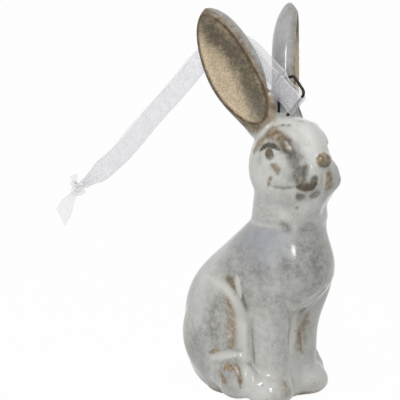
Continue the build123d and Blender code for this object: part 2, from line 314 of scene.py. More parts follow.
def organza_material():
    """Sheer cloth: threads both ways, closer together along the selvedges."""
    cloth = Shader("organza")
    place = cloth.add("ShaderNodeUVMap", {}, "UV")
    parts = cloth.tree.nodes.new("ShaderNodeSeparateXYZ")
    cloth.fill(parts, {0: place})
    across = parts.outputs["X"]
    along = parts.outputs["Y"]
    weft = cloth.math("SINE", cloth.math("MULTIPLY", along, WEAVE_RUN), 0)
    warp = cloth.math("SINE", cloth.math("MULTIPLY", across, WEAVE_RUN), 0)
    threads = cloth.math("MAXIMUM", weft, warp)
    middle = cloth.math("ABSOLUTE", cloth.math("SUBTRACT", across, 0.5), 0)
    selvedge = cloth.ramp(middle, 0.43, 0.475)
    where = cloth.add("ShaderNodeTexCoord", {}, "Object")
    slub = cloth.noise(where, 420, 3)
    weave = cloth.mix(cloth.ramp(slub, 0.35, 0.65), linear(226, 225, 231), linear(240, 239, 244))
    colour = cloth.mix(selvedge, weave, linear(250, 250, 253))
    sheer = cloth.math("ADD", cloth.ramp(threads, -0.2, 0.9, 0.2, 0.28),
                       cloth.math("MULTIPLY", selvedge, 0.14))
    bump = cloth.add("ShaderNodeBump", {"Strength": 0.3, "Distance": 0.0001, "Height": threads}, "Normal")
    cloth.fill(cloth.surface, {"Base Color": colour, "Alpha": sheer, "Roughness": 0.5, "Normal": bump,
                               "Sheen Weight": 0.25})
    return cloth.material


# Ceramic skin
# A painted line lies on both sides of the animal, on the side that it was seen on, or along the middle
BOTH, ONE, MIDDLE = range(3)
CRISP_PAINTS = ("glaze_pool_and_highlight", "dark")
LINE_REACH = 5
LINE_END = 0.4
CORNER_ROUNDS = 2
RIM_LIGHT_RADIUS = 3.5 * MM
NECK_SHADE_RADIUS = 6 * MM

# Eye, nose and neck: heights, and the two distances that a slope or a paint runs between
EYE_HEIGHT = 0.9 * MM
EYE_SLOPE = (1.8 * MM, 0.9 * MM)
EYE_PAINT = (1.85 * MM, 1.35 * MM)
SOCKET_DEPTH = 0.5 * MM
SOCKET_HALF_WIDTH = 2.6 * MM
NOSE_HEIGHT = 0.35 * MM
NOSE_SLOPE = (3.2 * MM, 1.6 * MM)
NOSE_PAINT = (3.3 * MM, 2.5 * MM)
NOSE_SQUASH = 1.45
NOSE_SHADE_HALF_WIDTH = 1.5 * MM
NOSE_SHADE_SQUASH = 2.2
NECK_DEPTH = 0.35 * MM
NECK_HALF_WIDTH = 0.8 * MM

# Ears: where they may start above the neck, the seam at the root, and widths of paint in pixels
EAR_LEAST_RISE = 15 * MM
SEAM_HALF_WIDTH = 0.8 * MM
SEAM_REACH = 2 * MM
RIM_PIXELS = 1.6
OLIVE_PIXELS = 10.5
SIDE_BROWN_RADIUS = 1.8 * MM

# Joints that thick glaze runs over: spots, radius in millimetres and share
MELTED_JOINTS = (
    (HIND_FOOT_JOINTS, 4.6, 1.0),
    (CHIN_JOINTS, 3.2, 0.7),
    (EAR_SIDE_BROWN, 2.2, 0.6),
)


class Skin:
    """The ceramic surface as arrays of places and normals, with relief and paint."""

    def __init__(self, mesh):
        self.place = np.empty(len(mesh.vertices) * 3)
        mesh.vertices.foreach_get("co", self.place)
        self.place = self.place.reshape(-1, 3)
        corners = np.empty(len(mesh.loops), dtype=np.int32)
        mesh.loops.foreach_get("vertex_index", corners)
        self.quads = corners.reshape(-1, 4)
        edges = np.empty(len(mesh.edges) * 2, dtype=np.int32)
        mesh.edges.foreach_get("vertices", edges)
        self.edges = edges.reshape(-1, 2)
        self.degree = np.bincount(edges, minlength=len(self.place))[:, None]
        self.place = self.soften(self.place, SOFTEN_ROUNDS)
        self.settle()
        self.paints = {}

    def soften(self, values, rounds):
        first, second = self.edges.T
        for _ in range(rounds):
            total = np.empty_like(values)
            for axis in range(values.shape[1]):
                total[:, axis] = np.bincount(first, values[second, axis], len(values))
                total[:, axis] += np.bincount(second, values[first, axis], len(values))
            values = 0.5 * values + 0.5 * total / self.degree
        return values

    def settle(self):
        """Works out the normals and the ray tree again after the places have changed."""
        corner = self.place[self.quads]
        facing = np.cross(corner[:, 2] - corner[:, 0], corner[:, 3] - corner[:, 1])
        total = np.zeros_like(self.place)
        for axis in range(3):
            for turn in range(4):
                total[:, axis] += np.bincount(self.quads[:, turn], facing[:, axis], len(total))
        self.normal = total / np.maximum(np.linalg.norm(total, axis=1, keepdims=True), 1e-12)
        seen = self.place + face_turn(self.place)
        self.tree = BVHTree.FromPolygons(seen.tolist(), self.quads.tolist())

    def under(self, x, y):
        """The place on the straight-faced skin that a photo pixel shows, or the nearest one beside it."""
        target = pixel_offset(x, y) - pixel_offset(*ORIGIN_PIXEL)
        hit = self.tree.ray_cast(camera_place, (target - camera_place).normalized())[0]
        hit = np.array(hit or self.tree.find_nearest(target)[0])
        return hit - face_turn(hit[None])[0]

    def to_line(self, pixels, half_width, sides):
        """How far each point lies from a photo line or its mirror, in half widths."""
        line = [self.under(*pixel) * (0 if sides == MIDDLE else 1, 1, 1) for pixel in flowing(pixels)]
        lengths = [np.linalg.norm(end - start) for start, end in zip(line, line[1:])]
        reach = LINE_REACH * half_width
        nearest = np.full(len(self.place), np.inf)
        for flip in (1, -1) if sides == BOTH else (1,):
            place = self.place * (flip, 1, 1)
            above = place > np.min(line, axis=0) - reach
            below = place < np.max(line, axis=0) + reach
            close = np.all(above & below, axis=1)
            place = place[close]
            travelled = 0
            for start, end, length in zip(line, line[1:], lengths):
                run = end - start
                share = np.clip((place - start) @ run / max(run @ run, 1e-12), 0, 1)
                along = (travelled + share * length) / sum(lengths)
                width = half_width * (LINE_END + (1 - LINE_END) * np.minimum(1, 4 * np.minimum(along, 1 - along)))
                away = np.linalg.norm(place - start - share[:, None] * run, axis=1)
                nearest[close] = np.minimum(nearest[close], away / width)
                travelled += length
        return nearest

    def to_spots(self, pixels, middle=False, squash=1):
        nearest = np.full(len(self.place), np.inf)
        for pixel in pixels:
            spot = self.under(*pixel) * (0 if middle else 1, 1, 1)
            for flip in (1, -1):
                offset = (self.place * (flip, 1, 1) - spot) * (1, 1, squash)
                nearest = np.minimum(nearest, np.linalg.norm(offset, axis=1))
        return nearest

    def lay(self, name, amount):
        self.paints[name] = np.maximum(self.paints.get(name, 0), np.clip(amount, 0, 1))

    def wipe(self, name, amount):
        self.paints[name] = self.paints[name] * (1 - np.clip(amount, 0, 1))

    def project(self, place):
        """The photo pixels that the places are seen at."""
        away = place - np.array(camera_place)
        scale = CAMERA_DISTANCE * PIXELS_PER_MM / MM / -(away @ np.array(camera_back))
        return np.stack([PHOTO_SIDE / 2 + (away @ np.array(camera_right)) * scale,
                         PHOTO_SIDE / 2 - (away @ np.array(camera_up)) * scale], axis=1)


def face_turn(place):
    """How far the middle of the face is turned towards the rabbit's right."""
    front = fade(place[:, 1], FACE_TURN_START, FACE_TURN_FULL)
    front = front * fade(place[:, 2], NECK_HEIGHT, NECK_HEIGHT + FACE_TURN_RISE)
    width = np.clip(1 - (place[:, 0] / FACE_TURN_HALF_WIDTH) ** 2, 0, 1)
    shift = np.zeros_like(place)
    shift[:, 0] = -FACE_TURN * front * width
    return shift


def bell(distance, half_width=1.0):
    """One on a line, falling smoothly to nothing beside it."""
    return np.exp(-0.5 * (distance / half_width) ** 2)


def fade(value, low, high):
    share = np.clip((value - low) / (high - low), 0, 1)
    return share * share * (3 - 2 * share)


def flowing(points):
    """An open line with its corners cut off twice."""
    points = np.array(points, dtype=float)
    for _ in range(CORNER_ROUNDS if len(points) > 2 else 0):
        cut = np.stack([0.75 * points[:-1] + 0.25 * points[1:], 0.25 * points[:-1] + 0.75 * points[1:]], 1)
        points = np.concatenate([points[:1], cut.reshape(-1, 2)[1:-1], points[-1:]])
    return points


def rounded(points):
    """A closed outline with its corners cut off twice."""
    points = np.array(points, dtype=float)
    for _ in range(CORNER_ROUNDS):
        following = np.roll(points, -1, axis=0)
        cut = [0.75 * points + 0.25 * following, 0.25 * points + 0.75 * following]
        points = np.stack(cut, 1).reshape(-1, 2)
    return points


def inside(pixels, outline):
    """How far inside an outline each pixel lies, in pixels; outside is negative."""
    crossings = np.zeros(len(pixels), dtype=int)
    nearest = np.full(len(pixels), np.inf)
    for start, end in zip(outline, np.roll(outline, -1, axis=0)):
        run = end - start
        share = np.clip((pixels - start) @ run / (run @ run), 0, 1)
        nearest = np.minimum(nearest, np.linalg.norm(pixels - start - share[:, None] * run, axis=1))
        spans = (start[1] > pixels[:, 1]) != (end[1] > pixels[:, 1])
        rise = np.where(end[1] == start[1], 1e-9, end[1] - start[1])
        crossings += spans & (pixels[:, 0] < start[0] + (pixels[:, 1] - start[1]) / rise * run[0])
    return np.where(crossings % 2 == 1, nearest, -nearest)


# Lines of the photograph: where they lie, half width and height in millimetres, then the paint and its share
RELIEF_LINES = (
    (HAUNCH_GROOVE, BOTH, 1.3, -0.85, "glaze_pool_and_highlight", 1.0),
    (FLANK_LINE, BOTH, 0.8, -0.4, "glaze_pool_and_highlight", 0.9),
    (FLANK_WEDGE, BOTH, 1.5, 0.1, "toast", 1.0),
    (HIND_FOOT_LINE, BOTH, 1.0, -0.6, "glaze_pool_and_highlight", 0.95),
    (UPPER_FLANK_SHADE, BOTH, 0.6, -0.1, "shade", 0.75),
    (LOWER_FLANK_SHADE, BOTH, 1.0, -0.1, "shade", 0.8),
    (HAUNCH_GOLD, BOTH, 2.1, 0.15, "gold", 0.58),
    (HAUNCH_GOLD, BOTH, 3.0, 0, "toast", 0.45),
    (HAUNCH_HEEL, BOTH, 0.9, 0.1, "gold", 0.7),
    (FOOT_BAND, BOTH, 0.6, -0.1, "toast", 1.0),
    (CHEST_LINE, ONE, 1.0, -0.55, "glaze_pool_and_highlight", 0.9),
    (LEG_GROOVE, ONE, 1.5, -0.5, "glaze_pool_and_highlight", 1.0),
    (TOE_GROOVE, ONE, 2.0, -0.5, "toast", 0.6),
    (BROW, BOTH, 2.0, 0.3, "toast", 1.0),
    (EYELID, BOTH, 0.7, 0.4, "dark", 1.0),
    (UNDER_LID, BOTH, 0.6, -0.3, "glaze_pool_and_highlight", 0.5),
    # White along the forehead ridge: a painted highlight
    (FOREHEAD_RIDGE, BOTH, 1.3, 0.55, "glaze_pool_and_highlight", 0.7),
    (CHEEK_MARK, BOTH, 0.75, 0.2, "toast", 0.85),
    (LOW_CHEEK_MARK, BOTH, 0.6, 0.1, "toast", 0.8),
    (CHEEK_CREASE, BOTH, 0.4, -0.35, "shade", 0.65),
    (SNOUT_SIDE, BOTH, 2.5, -0.2, "shade", 0.85),
    (MUZZLE_CREASE, ONE, 1.3, -0.4, "shade", 1.0),
    (MUZZLE_CREASE, ONE, 0.8, 0, "dark", 0.45),
    (MOUTH, ONE, 1.2, 0.2, "toast", 1.0),
    (MOUTH, ONE, 1.1, -0.1, "dark", 0.95),
    (MOUTH_CORNER, ONE, 1.0, 0, "dark", 0.8),
    (FAR_POUCH, ONE, 1.6, 0.1, "toast", 0.95),
    (PHILTRUM, MIDDLE, 0.6, -0.45, "glaze_pool_and_highlight", 0.8),
    (CHIN_MARK, ONE, 1.0, -0.2, "shade", 1.0),
    (LIP_MARK, ONE, 0.85, -0.3, "shade", 1.0),
    (THROAT_MARK, ONE, 0.6, 0, "shade", 0.7),
    (NECK_MARK, ONE, 1.3, 0, "shade", 0.62),
    (FAR_NECK_MARK, ONE, 2.2, 0, "shade", 0.45),
    (INNER_LEG, ONE, 1.6, 0, "toast", 0.9),
    (OUTER_LEG, ONE, 0.5, 0, "toast", 0.6),
    (EAR_ROOT_BROWN, BOTH, 1.8, 0, "toast", 0.95),
    (FAR_EAR_TAN, ONE, 1.5, 0, "toast", 0.55),
    (BROW_END, BOTH, 2.2, -0.4, "dark", 0.65),
)

# Spots of the photograph: radius in millimetres, then the paint and its share
PAINT_SPOTS = (
    (CROWN_MARKS, 0.6, "toast", 0.8),
    (FOOT_PATCHES, 1.1, "gold", 0.75),
    (FLANK_GREY, 5.5, "grey", 1.0),
    (BROW_SHADE, 1.8, "shade", 1.0),
    (EYE_SHADE, 1.6, "shade", 0.45),
)


def melt_joints(skin):
    """Runs the glaze thick where a limb meets the body, so that its ball form is lost."""
    melted = skin.soften(skin.place, MELT_ROUNDS)
    share = 0
    for pixels, radius, amount in MELTED_JOINTS:
        share = np.maximum(share, amount * bell(skin.to_spots(pixels), radius * MM))
    standing = fade(skin.place[:, 2], 0.5 * MM, 3 * MM)
    skin.place = skin.place + (melted - skin.place) * (share * standing)[:, None]
    skin.settle()


def pull_edges(skin):
    """Moves the skin across the view where its edge lies a little off the photographed one."""
    shift = np.zeros_like(skin.place)
    for pixel, across, radius in EDGE_PULLS:
        away = np.linalg.norm(skin.place - skin.under(*pixel), axis=1)
        shift += np.outer(across / PIXELS_PER_MM * MM * bell(away, radius * MM), camera_right)
    skin.place = skin.place + shift
    skin.settle()


def model_relief(skin):
    """Moves the skin along its normals, and paints the lines as it goes."""
    lift = PLUMP * fade(skin.place[:, 2], 0.3 * MM, 2 * MM)
    for pixels, sides, half_width, height, paint, share in RELIEF_LINES:
        distance = skin.to_line(pixels, half_width * MM, sides)
        lift += height * MM * bell(distance)
        edge = fade(distance, 1.9, 0.45) if paint in CRISP_PAINTS else bell(distance)
        skin.lay(paint, share * edge)
    for pixels, radius, paint, share in PAINT_SPOTS:
        skin.lay(paint, share * bell(skin.to_spots(pixels), radius * MM))
    eye = skin.to_spots([EYE])
    lift += EYE_HEIGHT * fade(eye, *EYE_SLOPE) - SOCKET_DEPTH * bell(eye, SOCKET_HALF_WIDTH)
    skin.lay("toast", fade(eye, *EYE_PAINT))
    skin.lay("dark", 0.7 * fade(eye, *EYE_PAINT))
    nose = skin.to_spots([NOSE], middle=True, squash=NOSE_SQUASH)
    lift += NOSE_HEIGHT * fade(nose, *NOSE_SLOPE)
    skin.lay("toast", 0.9 * fade(nose, *NOSE_PAINT))
    # Painted shade under the nose
    nose_shade = skin.to_spots([NOSE_SHADE_SPOT], middle=True, squash=NOSE_SHADE_SQUASH)
    skin.lay("dark", 0.75 * bell(nose_shade, NOSE_SHADE_HALF_WIDTH))
    neck_front = fade(skin.place[:, 1], 0 * MM, -12 * MM)
    lift -= NECK_DEPTH * bell(skin.place[:, 2] - NECK_HEIGHT, NECK_HALF_WIDTH) * neck_front
    skin.place = skin.place + skin.normal * lift[:, None]
    skin.settle()


def paint_relief(skin):
    """Thick glaze pools white in the hollows and breaks brown on the edges."""
    level = skin.soften(skin.place, RELIEF_ROUNDS)
    hollow = np.sum((level - skin.place) * skin.normal, axis=1)
    skin.lay("glaze_pool_and_highlight", 0.55 * fade(hollow, 0.25 * RELIEF_FULL, RELIEF_FULL))
    skin.lay("toast", 0.38 * fade(-hollow, 0.8 * RELIEF_FULL, 2.5 * RELIEF_FULL))
    height = skin.place[:, 2]
    foot = fade(height, 2.2 * MM, 0.5 * MM)
    skin.lay("bare", fade(height, 0.9 * MM, 0.2 * MM))
    skin.lay("toast", 0.75 * foot)
    skin.wipe("glaze_pool_and_highlight", foot)
    front = fade(skin.place[:, 1], -6 * MM, -12 * MM)
    body = fade(height, NECK_HEIGHT + 0.3 * MM, NECK_HEIGHT - 1.2 * MM)
    crown = fade(height, NECK_HEIGHT + 14 * MM, NECK_HEIGHT + 24 * MM)
    skin.lay("grey", 0.62 - 0.62 * crown + 0.2 * body - front * (0.22 * fade(height, 32 * MM, 24 * MM)
                                                               + 0.3 * fade(height, 12 * MM, 6 * MM)))
    # Painted rim light: less grey by the rump's upper edge and on the cheek
    skin.wipe("grey", 0.65 * bell(skin.to_spots(RIM_LIGHT_SPOTS), RIM_LIGHT_RADIUS))
    # Painted shade: darker lavender on the shoulders and along the upper back
    skin.lay("lavender_tint_and_shade", 0.75 * body * bell(skin.to_spots(NECK_SHADE_SPOTS), NECK_SHADE_RADIUS))
    skin.lay("lavender_tint_and_shade", 0.35 * body * fade(skin.place[:, 1], -4 * MM, 4 * MM) * fade(height, 30 * MM, 46 * MM))


def paint_ears(skin):
    """Bare tan dishes with a dark outline and an olive shadow, and a pale seam at the root."""
    head = node_tree("head_casting")
    ears = [node_tree("right_ear"), node_tree("left_ear")]
    high = np.flatnonzero(skin.place[:, 2] > NECK_HEIGHT + EAR_LEAST_RISE)
    lead = np.full(len(skin.place), -np.inf)
    for index in high:
        place = Vector(skin.place[index])
        lead[index] = head.find_nearest(place)[3] - min(ear.find_nearest(place)[3] for ear in ears)
    skin.ear_lead = lead
    on_ear = lead > 0
    skin.lay("glaze_pool_and_highlight", 0.9 * bell(lead, SEAM_HALF_WIDTH) * (lead > -SEAM_REACH))
    outline = rounded(EAR_OUTLINE)
    olive = np.array(EAR_OLIVE, dtype=float)
    for flip in (1, -1):
        place = skin.place * (flip, 1, 1)
        facing = (skin.normal * (flip, 1, 1)) @ np.array(camera_back)
        pixels = skin.project(place)
        own = on_ear & (place[:, 0] < 0) & (facing > 0)
        depth = inside(pixels, outline)
        start, end = np.array(EAR_AXIS, dtype=float)
        run = end - start
        left = (pixels[:, 0] - start[0]) * run[1] - (pixels[:, 1] - start[1]) * run[0] > 0
        skin.lay("inner", own * fade(depth, -0.8, 0.8))
        skin.lay("outline", own * 0.95 * bell(depth - RIM_PIXELS, RIM_PIXELS))
        skin.lay("toast", own * np.where(left, 1.0, 0.75) * fade(depth, -9, -2))
        skin.lay("dark", own * left * 0.5 * fade(depth, -7, -1))
        nearest = np.full(len(place), np.inf)
        for start, end in zip(olive, olive[1:]):
            run = end - start
            share = np.clip((pixels - start) @ run / (run @ run), 0, 1)
            nearest = np.minimum(nearest, np.linalg.norm(pixels - start - share[:, None] * run, axis=1))
        skin.lay("olive", own * bell(nearest, OLIVE_PIXELS))
    skin.lay("grey", 0.55 * on_ear)
    # The ears' glaze takes a lavender tint
    skin.lay("lavender_tint_and_shade", 0.35 * on_ear)
    side_brown = bell(skin.to_spots(EAR_SIDE_BROWN), SIDE_BROWN_RADIUS)
    skin.lay("toast", side_brown)
    skin.wipe("glaze_pool_and_highlight", np.maximum(skin.paints["inner"], side_brown))


def node_tree(node):
    return BVHTree.FromPolygons([v.co for v in frame["nodes"][node].data.vertices],
                                [p.vertices for p in frame["nodes"][node].data.polygons])


def fused_mesh():
    """The four clay members remeshed into one closed skin."""
    clay = bmesh.new()
    for node in CLAY_NODES:
        clay.from_mesh(frame["nodes"][node].data)
    middle, half = LEG_FILL
    block = Matrix.LocRotScale(Vector(middle) * MM, None, Vector(half))
    bmesh.ops.create_cube(clay, size=2 * MM, matrix=block)
    for middle, half in (HEEL_FILL, EAR_FILL, CROWN_FILL):
        for side in (-1, 1) if middle[0] else (1,):
            place = Vector((side * middle[0], *middle[1:])) * MM
            ball = bmesh.ops.create_uvsphere(clay, u_segments=48, v_segments=24, radius=MM,
                                             matrix=Matrix.LocRotScale(place, None, Vector(half)))
            for vertex in ball["verts"]:
                vertex.co.z = max(vertex.co.z, 0)
    mesh = bpy.data.meshes.new("clay")
    clay.to_mesh(mesh)
    clay.free()
    holder = link(bpy.data.objects.new("clay", mesh))
    remesh = holder.modifiers.new("remesh", "REMESH")
    remesh.mode = "VOXEL"
    remesh.voxel_size = SKIN_VOXEL
    return applied(holder)


def skin_mesh(skin):
    """The skin as one mesh that carries its paint and its normals."""
    mesh = bpy.data.meshes.new("skin")
    mesh.from_pydata(skin.place.tolist(), [], skin.quads.tolist())
    for name, amount in skin.paints.items():
        layer = mesh.attributes.new(name, "FLOAT", "POINT")
        layer.data.foreach_set("value", np.asarray(amount, dtype=np.float32))
    normals = mesh.attributes.new("glaze_normal", "FLOAT_VECTOR", "POINT")
    normals.data.foreach_set("vector", skin.normal.astype(np.float32).ravel())
    lead = mesh.attributes.new("ear_lead", "FLOAT", "POINT")
    lead.data.foreach_set("value", np.maximum(skin.ear_lead, -1).astype(np.float32))
    return mesh


def close_joints(piece):
    """Caps each open rim with a fan whose middle is sunk towards the head."""
    piece.edges.index_update()
    rims = {edge.index: edge for edge in piece.edges if edge.is_boundary}
    while rims:
        front = [rims.popitem()[1]]
        ring = []
        while front:
            edge = front.pop()
            ring.append(edge)
            for near in (near for vertex in edge.verts for near in vertex.link_edges):
                if near.index in rims:
                    front.append(rims.pop(near.index))
        middle = sum((vertex.co for edge in ring for vertex in edge.verts), Vector()) / (2 * len(ring))
        tip = piece.verts.new(middle + Vector(JOINT_DEPTH) * MM)
        for edge in ring:
            loop = edge.link_loops[0]
            piece.faces.new((loop.link_loop_next.vert, loop.vert, tip))


def cut_member(mesh, node):
    """The part of the skin that belongs to one clay member, closed at its joints."""
    piece = bmesh.new()
    piece.from_mesh(mesh)
    lead = piece.verts.layers.float["ear_lead"]
    whole = piece.verts[:] + piece.edges[:] + piece.faces[:]
    below = node == "torso_casting"
    bmesh.ops.bisect_plane(piece, geom=whole, plane_co=(0, 0, NECK_HEIGHT), plane_no=(0, 0, 1),
                           clear_outer=below, clear_inner=not below)
    if not below:
        def owner(face):
            if sum(vertex[lead] for vertex in face.verts) <= 0:
                return "head_casting"
            return "right_ear" if face.calc_center_median().x < 0 else "left_ear"
        others = [face for face in piece.faces if owner(face) != node]
        bmesh.ops.delete(piece, geom=others, context="FACES")
    rims = [edge for edge in piece.edges if edge.is_boundary]
    neck_rims = [edge for edge in rims if all(abs(v.co.z - NECK_HEIGHT) < 0.01 * MM for v in edge.verts)]
    if neck_rims:
        bmesh.ops.bridge_loops(piece, edges=neck_rims)
    close_joints(piece)
    result = bpy.data.meshes.new(node + "_glazed")
    piece.to_mesh(result)
    piece.free()
    return result


def make_ceramic():
    skin = Skin(fused_mesh())
    melt_joints(skin)
    pull_edges(skin)
    model_relief(skin)
    paint_relief(skin)
    paint_ears(skin)
    skin.place = skin.place + face_turn(skin.place)
    skin.settle()
    whole = skin_mesh(skin)
    glaze = glaze_material()
    for node in CLAY_NODES:
        mesh = cut_member(whole, node)
        normals = np.empty(len(mesh.vertices) * 3, dtype=np.float32)
        mesh.attributes["glaze_normal"].data.foreach_get("vector", normals)
        mesh.polygons.foreach_set("use_smooth", np.ones(len(mesh.polygons), dtype=bool))
        mesh.normals_split_custom_set_from_vertices(normals.reshape(-1, 3).tolist())
        mesh.attributes.remove(mesh.attributes["glaze_normal"])
        mesh.attributes.remove(mesh.attributes["ear_lead"])
        mesh.materials.append(glaze)
        piece = link(bpy.data.objects.new("glazed_" + node, mesh))
        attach(piece, "figurine")
        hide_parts(node)


# Ribbon: the route's points are those of the solids, in millimetres
RIBBON_WIDTH = 6.4
RIBBON_SHEER = 0.12
FOLD_LENGTH = 8.0
FIRST_RUN = 5.0
FRONT_ANGLE = math.radians(46)
FAN_AT_FOLD = 1.2
FAN_AT_TURN = 0.2
NEAR_FAN = -1.8
ROUTE = [
    (1.2, 96.0),
    (8.0, 98.2),
    (15.0, 96.6),
    (21.8, 92.0),
    (30.5, 83.8),
    (39.0, 76.5),
    (47.5, 69.0),
    (56.5, 60.8),
    (65.5, 54.6),
]
KNOT_PLACE = (75.2, 49.0)
KNOT_EDGE = (72.8, 50.3)
NEAR_X = -2.15
FAR_X = -1.35
KNOT_X = (NEAR_X + FAR_X) / 2
STEPS_ACROSS = 12
ROUTE_FAN = 0.7
GATHER_START = 11
GATHER_END = 1
GATHER_SHARE = 0.55
PLEAT_DEPTH = 0.5
PLEATS = 2.5
SWAY = 0.16
SWAY_RUN = 4.1
CUP = 0.25
CUP_RUN = 6.3
EASE_IN = 12
NEAR_RIPPLE = 0.4
FAR_RIPPLE = 2.6
KNOT_STEPS = 60
KNOT_FLATNESS = 0.62
KNOT_CORD = 0.42
KNOT_SHARE = 0.97
TAIL_STEPS = 24
TAIL_STEPS_ACROSS = 8
TAIL_NECK = 0.34
TAIL_OPENING = 0.66
TAIL_START = 1.4
TAIL_SLANT = 0.08
TAIL_PLEAT = 0.4
TAIL_TWIST = 0.5

# Tails: length, width, angle above the level and curl
LONG_TAIL = (13.6, 6.2, math.radians(-52), -0.3)
SHORT_TAIL = (4.4, 3.0, math.radians(58), 0.2)

hinge = Vector(frame["joints"][0]["pos_m"]) / MM
along_wire = Vector((0, -math.cos(FRONT_ANGLE), math.sin(FRONT_ANGLE)))
off_wire = Vector((0, math.sin(FRONT_ANGLE), math.cos(FRONT_ANGLE)))

# Section of the fold square to the wire: distance off it, sideways place and fan along it
FOLD_SECTION = (
    (8.0, NEAR_X, 0), (6.4, NEAR_X, 0), (4.6, -1.85, 0), (2.6, -1.0, 0), (1.0, -0.98, 0), (0, -0.98, 0),
    (-0.85, -0.75, 0), (-1.1, 0, 0), (-0.85, 0.75, 0), (0, 0.98, 0), (1.4, 0.98, 0), (2.9, 0.8, 0),
    (4.2, -0.1, 0), (5.4, -1.2, 0.4), (6.6, FAR_X, 0.8), (8.0, FAR_X, FAN_AT_FOLD),
)


def smooth_line(points):
    """Places read along a smooth curve that these points steer."""
    curve = bpy.data.curves.new("route", "CURVE")
    curve.dimensions = "3D"
    spline = curve.splines.new("NURBS")
    spline.points.add(len(points) - 1)
    for control, place in zip(spline.points, points):
        control.co = (*place, 1)
    spline.order_u = 3
    spline.use_endpoint_u = True
    spline.resolution_u = 12
    holder = bpy.data.objects.new("route", curve)
    line = bpy.data.meshes.new_from_object(holder)
    places = [vertex.co.copy() for vertex in line.vertices]
    bpy.data.objects.remove(holder)
    bpy.data.meshes.remove(line)
    return places


def cloth_strip(name, rows, cloth):
    """A thin closed band through rows of places in millimetres, with its width and length as UVs."""
    count = len(rows[0])
    places = [place * MM for row in rows for place in row]
    faces = [(r * count + c, r * count + c + 1, (r + 1) * count + c + 1, (r + 1) * count + c)
             for r in range(len(rows) - 1) for c in range(count - 1)]
    mesh = bpy.data.meshes.new(name)
    mesh.from_pydata(places, [], faces)
    length = [0.0]
    for before, after in zip(rows, rows[1:]):
        length.append(length[-1] + (after[count // 2] - before[count // 2]).length)
    layer = mesh.uv_layers.new(name="cloth")
    for loop in mesh.loops:
        row, column = divmod(loop.vertex_index, count)
        layer.data[loop.index].uv = (column / (count - 1), length[row] / RIBBON_WIDTH)
    mesh.materials.append(cloth)
    holder = link(bpy.data.objects.new(name, mesh))
    solid = holder.modifiers.new("cloth", "SOLIDIFY")
    solid.thickness = RIBBON_SHEER * MM
    solid.offset = 0
    mesh = applied(holder)
    mesh.polygons.foreach_set("use_smooth", np.ones(len(mesh.polygons), dtype=bool))
    piece = link(bpy.data.objects.new(name, mesh))
    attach(piece, "ribbon")
    return piece


def strand_rows(line, ripple):
    """Rows of a strand: full width at the fold, drawn into pleats where it enters the knot."""
    rows = []
    travelled = 0.0
    total = sum((b - a).length for a, b in zip(line, line[1:]))
    for index, place in enumerate(line):
        before = line[max(index - 1, 0)]
        after = line[min(index + 1, len(line) - 1)]
        if index:
            travelled += (place - before).length
        side = Vector((1, 0, 0)).cross(after - before).normalized()
        gathered = float(fade(travelled, total - GATHER_START, total - GATHER_END))
        width = RIBBON_WIDTH * (1 - GATHER_SHARE * gathered)
        eased = min(travelled / EASE_IN, 1)
        sway = SWAY * math.sin(travelled / SWAY_RUN + ripple) * eased
        hollow = CUP * math.sin(travelled / CUP_RUN + ripple)
        row = []
        for column in range(STEPS_ACROSS + 1):
            share = column / STEPS_ACROSS - 0.5
            pleat = PLEAT_DEPTH * gathered * math.sin(share * 2 * math.pi * PLEATS + ripple)
            cup = hollow * (share * share * 4 - 0.3) * eased
            row.append(place + side * (width * share) + Vector((sway + pleat + cup, 0, 0)))
        rows.append(row)
    return rows


def strand_points(x, fan_start, fan_turn):
    start = hinge + off_wire * FOLD_LENGTH + along_wire * (RIBBON_WIDTH / 2)
    turn = start + off_wire * FIRST_RUN
    route = [Vector((x, y, z)) for y, z in ROUTE + [KNOT_EDGE]]
    route[0] = route[0] + along_wire * (ROUTE_FAN * fan_turn)
    fanned = (start + along_wire * fan_start, turn + along_wire * fan_turn)
    return [Vector((x, place.y, place.z)) for place in fanned] + route


def make_strand(name, node, points, ripple, cloth):
    line = smooth_line(points)
    piece = cloth_strip(name, strand_rows(line, ripple), cloth)
    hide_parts(node)
    length = sum((b - a).length for a, b in zip(line, line[1:]))
    return piece, line, length


def make_fold(cloth):
    """The ribbon's turn round the wire, from the near strand to the far one."""
    rows = []
    for place in smooth_line(FOLD_SECTION):
        away, sideways, fan = place
        base = hinge + off_wire * away + Vector((sideways, 0, 0)) + along_wire * fan
        rows.append([base + along_wire * (RIBBON_WIDTH * column / STEPS_ACROSS)
                     for column in range(STEPS_ACROSS + 1)])
    piece = cloth_strip("organza_fold", rows, cloth)
    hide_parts("ribbon_fold")
    return piece


def make_knot(cloth):
    """An overhand knot of the doubled ribbon, drawn tight."""
    low, high = [Vector(corner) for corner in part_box("ribbon_knot")]
    curve = bpy.data.curves.new("knot", "CURVE")
    curve.dimensions = "3D"
    spline = curve.splines.new("NURBS")
    spline.points.add(KNOT_STEPS - 1)
    for step, control in enumerate(spline.points):
        angle = step / KNOT_STEPS * 2 * math.pi
        control.co = (KNOT_FLATNESS * math.sin(3 * angle),
                      (math.sin(angle) + 2 * math.sin(2 * angle)) / 3,
                      (math.cos(angle) - 2 * math.cos(2 * angle)) / 3, 1)
    spline.use_cyclic_u = True
    curve.bevel_depth = KNOT_CORD
    curve.bevel_resolution = 4
    holder = link(bpy.data.objects.new("knot", curve))
    mesh = applied(holder)
    places = np.array([vertex.co for vertex in mesh.vertices])
    reach = np.abs(places).max(axis=0)
    middle = np.array((low + high) / 2)
    half = np.array((high - low) / 2) * KNOT_SHARE
    mesh.vertices.foreach_set("co", (middle + places / reach * half).ravel())
    mesh.polygons.foreach_set("use_smooth", np.ones(len(mesh.polygons), dtype=bool))
    mesh.materials.append(cloth)
    piece = link(bpy.data.objects.new("organza_knot", mesh))
    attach(piece, "ribbon")
    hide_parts("ribbon_knot")
    return piece


